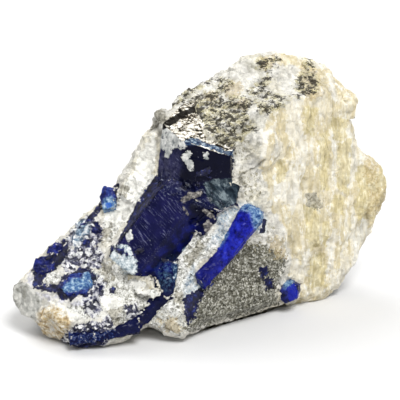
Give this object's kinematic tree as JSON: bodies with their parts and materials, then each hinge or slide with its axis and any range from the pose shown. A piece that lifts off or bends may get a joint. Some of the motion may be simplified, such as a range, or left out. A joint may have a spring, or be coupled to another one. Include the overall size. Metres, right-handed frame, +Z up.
{
  "type": "afghanite specimen",
  "caption": "Hand specimen of afghanite: dark and royal blue crystals set in a broken, sloping block of white and cream calcite marble.",
  "frame": {"origin": "middle of the specimen's bounding box, on the ground plane it rests on", "axes": "+X along the specimen's length, from the low toe to the heel; +Y away from the face with the crystals; +Z up"},
  "size_m": [0.0796, 0.047, 0.054],
  "materials": {
    "calcite": "rough broken marble, white to cream, with grey granular patches",
    "dark_afghanite": "glassy dark navy crystal with fine striations",
    "royal_afghanite": "glassy royal blue crystal",
    "pale_afghanite": "translucent pale blue crystal with dark blue edges"
  },
  "bodies": {
    "root": {"calcite_matrix": "calcite", "afghanite_main_crystal": "dark_afghanite", "royal_blue_bar_crystal": "royal_afghanite", "right_foot_crystal": "dark_afghanite", "ridge_crystal": "pale_afghanite", "slope_crystal": "dark_afghanite", "toe_crystal": "pale_afghanite"}
  },
  "joints": []
}
